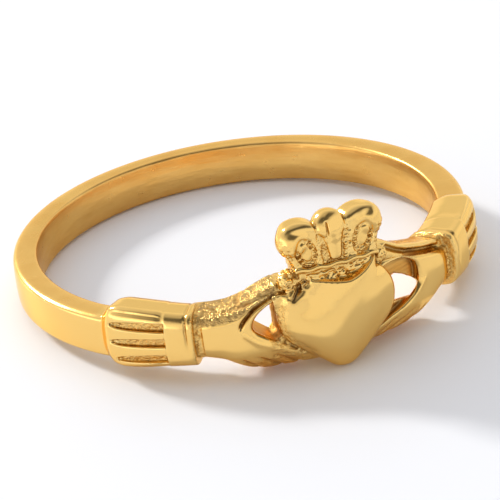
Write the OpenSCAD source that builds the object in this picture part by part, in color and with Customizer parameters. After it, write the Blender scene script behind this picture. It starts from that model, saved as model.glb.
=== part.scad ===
// Claddagh ring: a crowned heart held by two cuffed hands on a plain band.
// The ring is one cast piece. It is drawn upright about its own finger axis, with
// the crown up along +Z and the heart towards -Y, and is then tipped back and
// lifted to the pose in which it lies on a table: on the heart's tip and the
// lowest edge at the back of the band. The table is z = 0, and the ring's outermost
// front and back are as far from y = 0.
// Distances "round the head" are arc lengths at head_r, from the heart's middle.

/* [Finger hole] */
// Diameter of the finger hole
bore_d = 17.3; // [15:0.1:22]

/* [Band] */
// Width of the band along the finger
band_w = 1.92; // [1.7:0.01:2.05]
// Thickness of the band at the back
band_back_t = 1.08; // [0.8:0.01:1.2]
// Thickness of the band, carried on to the front
band_front_t = 1.28; // [1.1:0.01:1.5]
// Bevel along both outer edges of the band
band_bevel = 0.14; // [0.05:0.01:0.25]

/* [Cuffs] */
// Distance round the head from the heart's middle to the wrist end of a cuff
cuff_reach = 6.1; // [5.7:0.05:6.8]
// Length of a cuff round the head, with its slope down to the band
cuff_len = 4.75; // [4.2:0.05:5.4]
// Length of the slope from the cuff's full size down to the band
ramp_len = 1; // [0.5:0.05:1.2]
// Length of the plain collar at the wrist end of a cuff
collar_len = 1.25; // [0.8:0.05:1.6]
// Metal between the finger hole and the outside of a cuff, at its wrist end
cuff_t = 1.96; // [1.7:0.01:2.3]
// Height of a cuff's top over the middle of the band, at its wrist end
cuff_top = 1.5; // [1.3:0.01:1.65]
// Depth of a cuff's underside below the middle of the band, along the sleeve
cuff_drop = 1.15; // [1.1:0.01:1.25]
// How much further round the head the right cuff stands than the left one
far_side = 0.6; // [0:0.05:0.8]
// How far the collar stands out over the sleeve, and its rim over the collar
collar_rise = 0.07; // [0.03:0.01:0.12]
// Width of the raised rim at the wrist end
rim_w = 0.26; // [0.15:0.01:0.4]
// Number of slots along a sleeve
slot_count = 3; // [1:1:3]
// Width of one slot
slot_w = 0.4; // [0.2:0.01:0.5]
// Distance from slot to slot
slot_pitch = 0.68; // [0.6:0.01:0.75]
// Depth of a slot where it meets the collar
slot_depth = 0.28; // [0.1:0.01:0.35]
// Share of its width that a slot loses towards the band
slot_taper = 0.4; // [0:0.05:0.6]
// Height of the middle slot over the middle of the band
slot_mid = 0.27; // [0.15:0.01:0.35]

/* [Hands] */
// Metal between the finger hole and the back of a hand
hand_t = 1.82; // [1.6:0.01:1.9]
// Height of the thumb's tip over the middle of the band
thumb_top = 2.25; // [1.9:0.01:2.35]
// Depth of the fingers' lower edge below the middle of the band
finger_drop = 1.5; // [1.3:0.01:1.55]
// Length of a hand round the head, from its wrist to the heart's middle
hand_len = 5.3; // [5:0.05:5.6]
// How far a hand's and a cuff's upper front edge falls back from the crest
upper_fall = 0.34; // [0.2:0.01:0.5]
// How far their lower front edge falls back from the crest
lower_fall = 0.56; // [0.3:0.01:0.7]
// How far their top falls from its middle to the finger hole
inner_fall = 0.28; // [0.1:0.01:0.4]
// Diameter of the cuts between the fingers
finger_cut_d = 0.2; // [0.1:0.01:0.3]

/* [Heart] */
// Width of the heart round the head
heart_w = 5.24; // [4.9:0.02:5.5]
// Radius of each of the heart's two lobes
lobe_r = 1.55; // [1.4:0.01:1.6]
// Height of the lobes' centres over the middle of the band
lobe_z = 0.85; // [0.7:0.01:1]
// Depth of the heart's tip below the middle of the band
heart_drop = 1.8; // [1.65:0.01:1.95]
// Radius of the heart's rounded tip
tip_r = 0.9; // [0.6:0.01:1.1]
// Metal between the finger hole and the edge of the heart's face
heart_edge_t = 1.8; // [1.6:0.01:2.1]
// Rise of the heart's face from its edge to its middle
heart_dome = 0.85; // [0.4:0.01:1.1]
// How far the heart's walls draw in towards the finger hole
heart_draft = 0.3; // [0.1:0.01:0.5]

/* [Crown] */
// Height of the crown's foot over the middle of the band
crown_foot = 2.38; // [2.3:0.01:2.5]
// Height of the whole crown over its foot
crown_h = 2.68; // [2.4:0.02:3]
// Width of the crown's foot round the head
crown_foot_w = 3.5; // [3.2:0.02:3.8]
// Distance round the head between the tops of the outer two petals
crown_top_w = 3.2; // [3:0.02:3.4]
// Diameter of the ball at the top of a petal
ball_d = 1.46; // [1.3:0.01:1.6]
// Diameter of a petal at its foot
petal_foot_d = 1.17; // [1:0.01:1.3]
// How far the outer petals stop short of the middle one
petal_step = 0.1; // [0:0.01:0.3]
// Metal between the finger hole and the front of the crown's foot
crown_t = 2.2; // [2.05:0.01:2.4]
// Thickness of the plate behind the petals
plate_t = 1; // [0.6:0.01:1.2]
// Height of the raised rim along the crown's foot
foot_h = 0.34; // [0.2:0.01:0.5]
// Diameter of the boss on the front of each outer petal
boss_d = 0.8; // [0.6:0.01:1]
// Diameter of the nugget that joins thumb, heart and crown
nugget_d = 0.8; // [0.6:0.01:0.9]

/* [Hidden] */
$fn = 96;
gold = [0.86, 0.68, 0.32];

// How far a solid runs on inside the metal that it joins
sink = 0.35;
// Step between faces that would otherwise lie in one another
step = 0.1;
// How far a cutter runs on past what it cuts
past = 4;

bore_r = bore_d / 2;
head_r = bore_r + hand_t;

// Angle round the finger axis of a distance round the head
function turn(s) = s / head_r * 180 / PI;
// Distance round the head once a hand and cuff are drawn out by $far from the
// edge of the heart to the wrist
$far = 0;
function drawn_out(s) =
    let (share = (s - heart_w / 2) / (cuff_reach - heart_w / 2))
    s + $far * min(max(share, 0), 1);
// Point at distance s round the head, radius r and height z
function at(s, r, z) =
    let (a = turn(drawn_out(s)))
    [r * sin(a), -r * cos(a), z];

// Corner arc of radius r about c, from angle a1 to a2
corner_steps = 5;
function corner(c, r, a1, a2, n = corner_steps) =
    [for (i = [0 : n]) let (a = a1 + (a2 - a1) * i / n) c + r * [cos(a), sin(a)]];

// Sum of a list of numbers
function total(list) = list * [for (x = list) 1];
// Middle of a list of points
function middle(points) =
    [for (axis = [0 : 2]) total([for (p = points) p[axis]]) / len(points)];

// Solid lofted through closed sections that all have the same number of points.
// Each end is closed by a fan about the middle of its section.
module loft(sections) {
    rows = len(sections);
    n = len(sections[0]);
    first_middle = rows * n;
    last_middle = rows * n + 1;
    points = concat(
        [for (section = sections) each section],
        [middle(sections[0]), middle(sections[rows - 1])]
    );
    faces = [for (i = [0 : n - 1])
        let (k = (i + 1) % n)
        each [
            [i, k, first_middle],
            for (j = [0 : rows - 2])
                let (row = j * n, next = row + n)
                each [[row + i, next + i, row + k], [row + k, next + i, next + k]],
            [(rows - 1) * n + k, (rows - 1) * n + i, last_middle]
        ]];
    polyhedron(points, faces, convexity = 6);
}

module both_sides() {
    children();
    mirror([1, 0, 0]) children();
}

// Sector of a ring about the finger axis that opens towards -Y, from angle a1 on
// the left to a2 on the right
module sector(a1, a2, r, z1, z2) {
    translate([0, 0, z1])
        linear_extrude(z2 - z1)
            polygon([[0, 0], [-r * tan(a1), -r], [r * tan(a2), -r]]);
}

band_mean_r = bore_r + (band_back_t + band_front_t) / 2;
band_shift = (band_front_t - band_back_t) / 2;
band_end = cuff_reach + cuff_len - ramp_len;
// The band is set off a little towards the head, which thickens the front, and it
// stops inside the cuffs.
module band() {
    edge = band_mean_r - band_bevel;
    difference() {
        translate([0, -band_shift, 0])
            rotate_extrude()
                polygon([
                    [0, -band_w / 2],
                    [edge, -band_w / 2],
                    [band_mean_r, band_bevel - band_w / 2],
                    [band_mean_r, band_w / 2 - band_bevel],
                    [edge, band_w / 2],
                    [0, band_w / 2]
                ]);
        sector(turn(band_end), turn(band_end + far_side), band_mean_r + past, -past, past);
    }
}

front_steps = 10;
// Closed section of a cuff or hand at distance s round the head: a rounded front
// between the heights low and top, and a top that falls towards the finger hole
function limb_section(s, inner, low, top, metal, power) =
    let (
        crest = bore_r + metal,
        top_mid = (crest - upper_fall + bore_r) / 2,
        inner_top = top - inner_fall * (top_mid - inner) / (top_mid - bore_r)
    )
    concat(
        [at(s, inner, low)],
        [for (i = [0 : front_steps])
            let (u = 2 * i / front_steps - 1, fall = u < 0 ? lower_fall : upper_fall)
            at(s, crest - fall * pow(abs(u), power), low + (top - low) * (1 + u) / 2)],
        [at(s, top_mid, top), at(s, inner, inner_top)]
    );

// Sections along a cuff, from inside the band to the wrist end. The columns are
// the place as a share of cuff_len from the wrist end, the lower and upper edge
// as shares of cuff_drop and cuff_top, the crest as a share of cuff_t, and how
// many times collar_rise the section stands out.
ramp_place = 1 - ramp_len / cuff_len;
collar_place = collar_len / cuff_len;
rim_place = rim_w / cuff_len;
step_place = 0.012;
cuff_rows = [
    // place, lower, upper, crest, rise
    [1.00, 0.68, 0.56, 0.52, 0],
    [ramp_place, 1.03, 1.10, 0.92, 0],
    [(ramp_place + collar_place) / 2, 0.97, 1.10, 0.95, 0],
    [collar_place + step_place, 0.86, 1.05, 0.97, 0],
    [collar_place, 0.84, 1.01, 0.97, 1],
    [rim_place + step_place, 0.70, 0.98, 1.00, 1],
    [rim_place, 0.69, 0.98, 1.00, 2],
    [0.00, 0.67, 0.98, 1.00, 2]
];
cuff_power = 4;

// Radius of the sleeve's crest at distance s round the head
function sleeve_r(s) =
    bore_r + cuff_t * lookup((s - cuff_reach) / cuff_len, [for (row = cuff_rows) [row[0], row[3]]]);

// Closed section of a slot with a round floor, open towards the outside
function slot_section(s, floor_r, w, z) =
    let (r = floor_r + w / 2)
    concat(
        [for (a = [90 : 45 : 270]) at(s, r + w / 2 * cos(a), z + w / 2 * sin(a))],
        [at(s, r + past, z - w / 2), at(s, r + past, z + w / 2)]
    );

// Slot along the sleeve that narrows and runs out of the metal towards the band
module slot(z) {
    from = cuff_reach + collar_len;
    to = cuff_reach + cuff_len - ramp_len;
    loft([for (share = [1 : -0.25 : 0])
        let (s = from + (to - from) * share)
        slot_section(s, sleeve_r(s) - slot_depth * (1 - share),
            slot_w * (1 - slot_taper * share), z)]);
}

module cuff() {
    difference() {
        loft([for (row = cuff_rows)
            let (rise = row[4] * collar_rise)
            limb_section(cuff_reach + row[0] * cuff_len, bore_r - 1.5 * sink, -row[1] * cuff_drop - rise,
                row[2] * cuff_top + rise, row[3] * cuff_t + rise, cuff_power)]);
        for (i = [0 : slot_count - 1])
            slot(slot_mid + (i - (slot_count - 1) / 2) * slot_pitch);
    }
}

// Sections along a hand, from inside the cuff to under the heart. The columns are
// the place, the lower and upper edge as shares of finger_drop and thumb_top, and
// the crest as a share of hand_t. A place up to 1 is a share of hand_len from the
// heart's middle, and from 1 to 2 it runs on from the wrist to inside the cuff.
hand_rows = [
    // place, lower, upper, crest
    [2.00, 0.41, 0.60, 0.92],
    [1.35, 0.45, 0.62, 0.96],
    [0.95, 0.49, 0.64, 1.00],
    [0.84, 0.75, 0.69, 1.01],
    [0.76, 0.89, 0.75, 1.01],
    [0.68, 0.96, 0.82, 1.00],
    [0.60, 0.99, 0.89, 1.00],
    [0.54, 1.00, 0.95, 0.99],
    [0.47, 1.00, 1.00, 0.98],
    [0.40, 1.00, 1.00, 0.97],
    [0.31, 0.99, 0.70, 0.96],
    [0.17, 0.98, 0.15, 0.92]
];
hand_power = 3;

// Distance round the head of a place on a hand
function hand_s(place) =
    min(place, 1) * hand_len + max(place - 1, 0) * (cuff_reach + sink - hand_len);

// Corners of the gap between thumb, fingers and heart, from its wrist end up and
// round. The columns are the place as a share of hand_len and the height as a
// share of thumb_top. Two corners lie inside the heart.
gap_corners = [
    // place, height
    [0.710, 0.38],
    [0.690, 0.50],
    [0.620, 0.64],
    [0.535, 0.76],
    [0.440, 0.80],
    [0.300, 0.48],
    [0.350, -0.21],
    [0.450, -0.13],
    [0.550, -0.04],
    [0.640, 0.10],
    [0.695, 0.24]
];

// Prism along the radius through the gap
module gap() {
    loft([for (r = [bore_r - past / 2, head_r + past / 2])
        [for (corner = gap_corners)
            at(corner[0] * hand_len, r, corner[1] * thumb_top)]]);
}

// Cuts that part the fingers. The columns are the place of the lower and the
// upper end as shares of hand_len, and their heights as shares of finger_drop.
finger_cuts = [
    // low place, low height, high place, high height
    [0.66, -0.98, 0.80, -0.30],
    [0.51, -1.00, 0.70, -0.32],
    [0.35, -1.00, 0.58, -0.34]
];

module finger_cut(row) {
    low = at(row[0] * hand_len, head_r - lower_fall, row[1] * finger_drop);
    high = at(row[2] * hand_len, head_r + finger_cut_d / 4, row[3] * finger_drop);
    run = high - low;
    translate(low)
        rotate([0, acos(run[2] / norm(run)), atan2(run[1], run[0])])
            cylinder(h = norm(run), d = finger_cut_d, $fn = 24);
}

module hand() {
    difference() {
        loft([for (row = hand_rows)
            limb_section(hand_s(row[0]), bore_r - sink, -row[1] * finger_drop,
                row[2] * thumb_top, row[3] * hand_t, hand_power)]);
        gap();
        for (row = finger_cuts)
            finger_cut(row);
    }
}

module arm(far) {
    $far = far;
    cuff();
    hand();
}

// Right half of the heart's outline from the tip to the notch: an arc at the tip,
// a straight side that touches both arcs, and the lobe
lobe_s = heart_w / 2 - lobe_r;
tip_z = -heart_drop + tip_r;
side_dir = [lobe_s, lobe_z - tip_z];
side_lean = atan2(side_dir[0], side_dir[1]) + asin((lobe_r - tip_r) / norm(side_dir));
notch_a = acos(-lobe_s / lobe_r);
tip_steps = 4;
lobe_steps = 15;
half_heart = concat(
    corner([0, tip_z], tip_r, -90, -side_lean, tip_steps),
    corner([lobe_s, lobe_z], lobe_r, -side_lean, notch_a, lobe_steps)
);
heart_outline = concat(
    half_heart,
    [for (i = [len(half_heart) - 2 : -1 : 1]) [-half_heart[i][0], half_heart[i][1]]]
);
heart_mid = [0, lobe_z / 2];

// The heart's face as rings: share of the outline's size and of the dome's rise
face_rows = [
    // size  rise
    [1.00, 0.00],
    [0.97, 0.30],
    [0.90, 0.54],
    [0.76, 0.76],
    [0.56, 0.91],
    [0.30, 0.99]
];

function heart_ring(size, r) =
    [for (p = heart_outline)
        let (q = heart_mid + size * (p - heart_mid))
        at(q[0], r, q[1])];

module heart() {
    edge_r = bore_r + heart_edge_t;
    inner_r = bore_r - 2 * sink;
    inner_size = 1 - heart_draft / heart_drop;
    loft(concat(
        [heart_ring(inner_size, inner_r)],
        [for (row = face_rows) heart_ring(row[0], edge_r + row[1] * heart_dome)]
    ));
}

crown_r = bore_r + crown_t - ball_d / 2;
crown_half_a = turn(crown_foot_w / 2);

// Part of a ring about the finger axis, centred on the head
module arc_bar(r1, r2, z1, z2, half_a) {
    rotate([0, 0, -90 - half_a])
        rotate_extrude(angle = 2 * half_a)
            translate([r1, z1])
                square([r2 - r1, z2 - z1]);
}

// A petal leans from its foot out to its ball, and ends inside the ball
module petal(foot_s, top_s, top_z) {
    foot = at(foot_s, crown_r, crown_foot);
    ball = at(top_s, crown_r, top_z - ball_d / 2);
    reach = ball - foot;
    translate(foot)
        rotate([0, acos(reach[2] / norm(reach)), atan2(reach[1], reach[0])])
            cylinder(h = norm(reach), d1 = petal_foot_d, d2 = ball_d - step);
    translate(ball)
        sphere(d = ball_d);
}

module crown() {
    top = crown_foot + crown_h;
    side_foot = (crown_foot_w - ball_d) / 2;
    plate_r = bore_r + (hand_t - plate_t) / 2;
    boss_s = (side_foot + crown_top_w / 2) / 2;
    boss_r = crown_r + ball_d / 2 - boss_d / 4;
    arc_bar(plate_r - step, bore_r + crown_t, crown_foot, crown_foot + foot_h, crown_half_a);
    arc_bar(plate_r, plate_r + plate_t, crown_foot + foot_h / 2, top - ball_d,
        turn(crown_top_w / 2));
    petal(0, 0, top);
    both_sides() {
        petal(side_foot, crown_top_w / 2, top - petal_step);
        translate(at(boss_s, boss_r, (crown_foot + top - ball_d / 2) / 2 + step))
            sphere(d = boss_d);
        translate(at(crown_foot_w / 2 + nugget_d / 3, crown_r, crown_foot))
            sphere(d = nugget_d);
    }
    arc_bar(plate_r - 2 * step, bore_r + hand_t - step, lobe_z + lobe_r / 2,
        crown_foot + foot_h / 2, turn(lobe_s + step));
}

// Back edge and heart's tip, as [y, z], on which the ring lies
back_rest = [band_mean_r - band_shift - band_bevel, -band_w / 2];
tip_rest = [-(bore_r + heart_edge_t), -heart_drop];
rest_tip = atan((back_rest[1] - tip_rest[1]) / (back_rest[0] - tip_rest[0]));
rest_lift = heart_drop * cos(rest_tip) + tip_rest[0] * sin(rest_tip);
rest_shift = (bore_r + heart_edge_t + heart_dome - band_mean_r + band_shift) / 2;

module ring() {
    color(gold)
        translate([0, rest_shift, rest_lift])
            rotate([-rest_tip, 0, 0])
                difference() {
                    union() {
                        band();
                        mirror([1, 0, 0]) arm(0);
                        arm(far_side);
                        heart();
                        crown();
                    }
                    translate([0, 0, -past])
                        cylinder(h = 2 * past + crown_foot + crown_h, r = bore_r, $fn = 192);
                }
}

ring();
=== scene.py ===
import math
from itertools import product

import bpy
import numpy as np
from mathutils import Matrix, Vector


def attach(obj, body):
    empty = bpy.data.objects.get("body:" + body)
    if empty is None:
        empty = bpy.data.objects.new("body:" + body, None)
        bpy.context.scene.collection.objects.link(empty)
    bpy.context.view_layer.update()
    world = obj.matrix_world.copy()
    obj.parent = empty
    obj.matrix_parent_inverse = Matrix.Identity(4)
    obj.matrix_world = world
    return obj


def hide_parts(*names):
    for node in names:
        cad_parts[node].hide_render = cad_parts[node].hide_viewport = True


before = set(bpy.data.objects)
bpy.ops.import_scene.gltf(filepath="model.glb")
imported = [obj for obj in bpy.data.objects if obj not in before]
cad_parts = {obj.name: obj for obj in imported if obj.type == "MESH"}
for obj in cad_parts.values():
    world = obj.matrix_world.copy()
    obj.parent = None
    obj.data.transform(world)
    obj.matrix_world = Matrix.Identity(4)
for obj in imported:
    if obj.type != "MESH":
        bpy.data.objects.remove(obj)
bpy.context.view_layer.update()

MM = 0.001

# Sizes, mm

# The same named sizes as the solid's source. The ring is worked out upright about
# its own finger axis, in three coordinates: s, the distance round the head at
# HEAD_R from the heart's middle, r, the radius, and z, the height.
BORE_R = 8.65
HEAD_R = BORE_R + 1.82
BACK_T, FRONT_T = 1.08, 1.28
BAND_W = 1.92
BEVEL = 0.14
MEAN_R = BORE_R + (BACK_T + FRONT_T) / 2
MEAN_SHIFT = (FRONT_T - BACK_T) / 2
CUFF_REACH = 6.1
COLLAR_LEN = 1.25
RIM_W = 0.26
COLLAR_RISE = 0.07
HEART_W, LOBE_R, LOBE_Z, HEART_DROP, TIP_R = 5.24, 1.55, 0.85, 1.8, 0.9
HEART_EDGE, HEART_DOME = 1.8, 0.85
ROUND = 2 * math.pi * HEAD_R
# The ring lies on the band's lower back edge and on the heart's tip
BACK_REST = (MEAN_R - MEAN_SHIFT - BEVEL, -BAND_W / 2)
TIP_REST = (-(BORE_R + HEART_EDGE), -HEART_DROP)
REST_TIP = math.atan((BACK_REST[1] - TIP_REST[1]) / (BACK_REST[0] - TIP_REST[0]))
REST_LIFT = HEART_DROP * math.cos(REST_TIP) + TIP_REST[0] * math.sin(REST_TIP)
REST_SHIFT = (BORE_R + HEART_EDGE + HEART_DOME - MEAN_R + MEAN_SHIFT) / 2
RING_CENTRE = Vector((0, REST_SHIFT, REST_LIFT)) * MM

# Fields

# A field is a distance in mm, negative inside the metal. Fields are joined with
# soft_min and cut with soft_max, whose last value is the width of the fillet.
FAR = 9.0
CURVE_STEP = 0.01
PATH_STEPS = 4


def soft_min(a, b, k):
    h = np.maximum(k - np.abs(a - b), 0) / k
    return np.minimum(a, b) - h * h * k / 4


def soft_max(a, b, k):
    return -soft_min(-a, -b, k)


def fade(x, low, high):
    """0 below low, 1 above high, smooth between."""
    t = np.clip((x - low) / (high - low), 0, 1)
    return t * t * (3 - 2 * t)


def fade_out(x, low, high):
    """1 below low, 0 above high."""
    return 1 - fade(x, low, high)


def bell(x, width):
    """1 at 0, falling off smoothly to both sides: the section of a groove or ridge."""
    return np.exp(-((x / width) ** 2))


def length(a, b, c):
    return np.sqrt(a ** 2 + b ** 2 + c ** 2)


def gaussian(width, step):
    """Weights that smooth over the given width."""
    n = int(3 * width / step)
    weights = np.exp(-0.5 * (np.arange(-n, n + 1) * step / width) ** 2)
    return weights / weights.sum()


class Curve:
    """One column of a table against its first one, rounded off over a given width."""

    def __init__(self, rows, column, width):
        rows = np.array(sorted(rows), float)
        places, values = rows[:, 0], rows[:, column]
        self.x = np.arange(places[0] - 1, places[-1] + 1, CURVE_STEP)
        y = np.interp(self.x, places, values)
        weights = gaussian(width, CURVE_STEP)
        n = len(weights) // 2
        padded = np.concatenate([np.full(n, y[0]), y, np.full(n, y[-1])])
        self.y = np.convolve(padded, weights, "valid")

    def __call__(self, x):
        return np.interp(x, self.x, self.y)


def segment_field(s, z, a, b):
    """Distance to a segment in the unrolled plane, and the share along it."""
    a, b = np.asarray(a, float), np.asarray(b, float)
    d = b - a
    t = np.clip(((s - a[0]) * d[0] + (z - a[1]) * d[1]) / (d @ d), 0, 1)
    return np.hypot(s - a[0] - t * d[0], z - a[1] - t * d[1]), t


def path_field(s, z, points):
    """Distance to a path of segments, and the share along it."""
    best = np.full(np.shape(s), FAR)
    share = np.zeros(np.shape(s))
    n = len(points) - 1
    for i in range(n):
        d, t = segment_field(s, z, points[i], points[i + 1])
        near = d < best
        best = np.where(near, d, best)
        share = np.where(near, (i + t) / n, share)
    return best, share


def polygon_field(s, z, points):
    """Signed distance to a closed polygon, negative inside."""
    best = np.full(np.shape(s), FAR)
    inside = np.zeros(np.shape(s), bool)
    n = len(points)
    for i in range(n):
        a, b = points[i], points[(i + 1) % n]
        d, _ = segment_field(s, z, a, b)
        best = np.minimum(best, d)
        if a[1] != b[1]:
            cross = (a[1] > z) != (b[1] > z)
            inside ^= cross & (s < (b[0] - a[0]) * (z - a[1]) / (b[1] - a[1]) + a[0])
    return np.where(inside, -best, best)


def round_cone(s, r, z, a, a_radius, b, b_radius):
    """Cone with round ends from a to b, each (s, r, z)."""
    a, b = np.asarray(a, float), np.asarray(b, float)
    d = b - a
    t = np.clip(((s - a[0]) * d[0] + (r - a[1]) * d[1] + (z - a[2]) * d[2]) / (d @ d), 0, 1)
    radius = a_radius + (b_radius - a_radius) * t
    return length(s - a[0] - t * d[0], r - a[1] - t * d[1], z - a[2] - t * d[2]) - radius


def smooth_path(points, closed):
    """Catmull-Rom points through the given ones."""
    p = np.asarray(points, float)
    n = len(p)
    out = []
    for i in range(n if closed else n - 1):
        if closed:
            a, b, c, d = p[(i - 1) % n], p[i], p[(i + 1) % n], p[(i + 2) % n]
        else:
            a, b, c, d = p[max(i - 1, 0)], p[i], p[i + 1], p[min(i + 2, n - 1)]
        for k in range(PATH_STEPS):
            t = k / PATH_STEPS
            out.append(0.5 * (2 * b + (c - a) * t + (2 * a - 5 * b + 4 * c - d) * t * t
                              + (3 * b - a - 3 * c + d) * t ** 3))
    if not closed:
        out.append(p[-1])
    return [tuple(q) for q in out]


# Grains

CELL_FACTORS = (73856093, 19349663, 83492791)
SEED_FACTOR, STIR_FACTOR = 2654435, 1274126177
HASH_MASK = 0xFFFFF
# Where in its cell a grain may stand
GRAIN_FROM, GRAIN_SPREAD = 0.15, 0.7
GRAIN_REACH, GRAIN_POWER = 0.55, 0.7
# Each kind's cell, mm, and seed
LUMPS = (0.24, 5)
SMALL_LUMPS = (0.13, 6)
CROWN_GRAIN = (0.17, 11)
FOOT_GRAIN = (0.19, 21)
NUGGET_GRAIN = (0.21, 31)
WRIST_GRAIN = (0.17, 41)
SIDE_GRAIN = (0.20, 51)
SOIL_GRAIN = (0.17, 61)
FILL_GRAIN = (0.22, 71)
BORDER_GRAIN = (0.15, 81)


def hash01(i, j, k, seed):
    """A number from 0 to 1 for each cell, the same on every run."""
    n = (i * CELL_FACTORS[0]) ^ (j * CELL_FACTORS[1]) ^ (k * CELL_FACTORS[2]) ^ (seed * SEED_FACTOR)
    n = (n ^ (n >> 13)) * STIR_FACTOR
    n = n ^ (n >> 16)
    return (n & HASH_MASK) / float(HASH_MASK)


def grains(a, b, c, cell, seed):
    """Rounded grains, 0 between them and 1 on their tops, one in each cell."""
    q = [np.asarray(v, float) / cell for v in (a, b, c)]
    base = [np.floor(v).astype(np.int64) for v in q]
    best = np.full(np.shape(q[0]), FAR)
    for step in product((-1, 0, 1), repeat=3):
        near = [at + by for at, by in zip(base, step)]
        dx, dy, dz = [near[n] + GRAIN_FROM + GRAIN_SPREAD * hash01(*near, seed + n) - q[n]
                      for n in range(3)]
        size = 0.75 + 0.5 * hash01(*near, seed + 3)
        best = np.minimum(best, (dx * dx + dy * dy + dz * dz) / size)
    return np.clip(1 - best / GRAIN_REACH, 0, 1) ** GRAIN_POWER


def waves(a, b, c, spacing, seed):
    """Cheap smooth noise from -1 to 1."""
    w = 2 * math.pi / spacing
    p = 1.7 * seed
    first = np.sin(w * (a + 0.31 * b) + p) * np.sin(w * (0.83 * b - 0.4 * c) + 2.1 * p)
    second = np.sin(w * (1.27 * c + 0.22 * a) + 0.6 * p) * np.sin(w * (0.71 * a + 0.9 * b) + 1.3 * p)
    return (first + second) / 2


# Band

# The hoop is a little thicker at its sides, more so on the right
BAND_SWELL, SWELL_LEAN = 0.10, 0.06
BAND_CROWN, SIDE_CROWN, BAND_ROUND = 0.05, 0.08, 0.22


def band_field(s, r, z):
    """The plain hoop, slightly crowned on its outside and its two flanks."""
    c, sn = np.cos(s / HEAD_R), np.sin(s / HEAD_R)
    outer = MEAN_SHIFT * c + np.sqrt(MEAN_R ** 2 - (MEAN_SHIFT * sn) ** 2)
    outer = outer + (BAND_SWELL + SWELL_LEAN * sn) * sn * sn
    half = BAND_W / 2
    front = r - outer + BAND_CROWN * (z / half) ** 2
    mid = (outer + BORE_R) / 2
    side = np.abs(z) - half + SIDE_CROWN * ((r - mid) / (outer - mid)) ** 2
    return soft_max(front, side, BAND_ROUND)


# Faces of cuffs and hands

# A front face falls off up to this many half widths from its middle
FACE_END = 1.3
# A top face is highest half way between the bore and this far behind the crest
TOP_BACK = 0.34


def limb_front(z, low, top, crest, power, upper_fall, lower_fall):
    """Radius of a rounded front face, and the factor that makes its field a distance."""
    half = (top + low) / 2
    u = (z - (top - low) / 2) / half
    fall = np.where(u < 0, lower_fall, upper_fall)
    out = np.minimum(np.abs(u), FACE_END)
    slope = fall * power * out ** (power - 1) / half
    return BORE_R + crest - fall * out ** power, 1 / np.sqrt(1 + slope ** 2)


def limb_top(r, top, crest, inner_fall):
    """Height of a top face that falls off towards the bore."""
    mid = BORE_R + (crest - TOP_BACK) * 0.5
    x = np.clip((mid - r) / (mid - BORE_R), 0, 1.5)
    return top - inner_fall * x ** 1.6


# Cuffs

# Columns: distance, lower edge, upper edge, crest over the finger hole
CUFF_ROWS = [
    (10.90, 0.80, 0.88, 1.10),
    (10.45, 1.02, 1.20, 1.45),
    (10.05, 1.16, 1.60, 1.74),
    (9.60, 1.20, 1.71, 1.82),
    (8.60, 1.12, 1.69, 1.86),
    (7.60, 1.00, 1.63, 1.90),
    (7.35, 0.96, 1.55, 1.90),
    (6.36, 0.90, 1.48, 1.94),
    (6.00, 0.88, 1.47, 1.94),
]
CUFF_SMOOTH = 0.12
cuff_low, cuff_top, cuff_crest = [Curve(CUFF_ROWS, column, CUFF_SMOOTH) for column in (1, 2, 3)]
# The front face's power, upper fall and lower fall, and the top face's fall
CUFF_FACE = (4.0, 0.30, 0.50)
CUFF_TOP_FALL = 0.28
# The rim's share of the collar's rise, and the crease behind it
RIM_SHARE = 0.6
CREASE_W, CREASE_DEPTH = 0.055, 0.09
# A fine line along the sleeve's upper edge
EDGE_LINE_W, EDGE_LINE_DEPTH = 0.07, 0.04
# Each slot from its end at the collar to its rounded end
SLOT_ENDS = [
    ((7.32, 1.00), (9.95, 0.96)),
    ((7.32, 0.34), (9.98, 0.18)),
    ((7.32, -0.38), (9.80, -0.60)),
]
SLOT_HALF, SLOT_TAPER, SLOT_DEPTH, SLOT_ROUND = 0.185, 0.02, 0.28, 0.05


def collar_rise(s, z):
    """How far the collar and its rim stand over the sleeve, less the crease between them."""
    collar_end, rim_end = CUFF_REACH + COLLAR_LEN, CUFF_REACH + RIM_W
    collar = fade_out(s, collar_end - 0.03, collar_end + 0.03)
    # The rim and the crease fade out below
    upper = fade(z, -0.5, 0.9)
    rim = fade_out(s, rim_end - 0.04, rim_end + 0.04) * upper
    crease = bell(s - CUFF_REACH - RIM_W - 0.07, CREASE_W) * upper
    return COLLAR_RISE * (collar + RIM_SHARE * rim) - CREASE_DEPTH * crease


def slot_field(s, r, z, front, scale, ends):
    """One blind slot, narrower and shallower towards its end, with a rough floor."""
    (start_s, start_z), (end_s, end_z) = ends
    middle = start_z + (end_z - start_z) * (s - start_s) / (end_s - start_s)
    share = np.clip((s - start_s) / (end_s - start_s), -0.2, 1.2)
    half = SLOT_HALF * np.sqrt(np.clip(1 - np.maximum(share, 0) ** 5, 0.0, 1)) - SLOT_TAPER * share
    side = np.maximum(np.abs(z - middle) - half, np.maximum(start_s - s, s - end_s))
    depth = SLOT_DEPTH * (1 - 0.75 * np.clip(share, 0, 1) ** 3)
    depth = depth - 0.05 * waves(s * 1.3, z, r * 0.2, 0.21, 3)
    depth = depth - 0.03 * waves(s, z * 1.4, r * 0.2, 0.12, 8)
    return soft_max(side, (front - depth - r) * scale, SLOT_ROUND)


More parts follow.
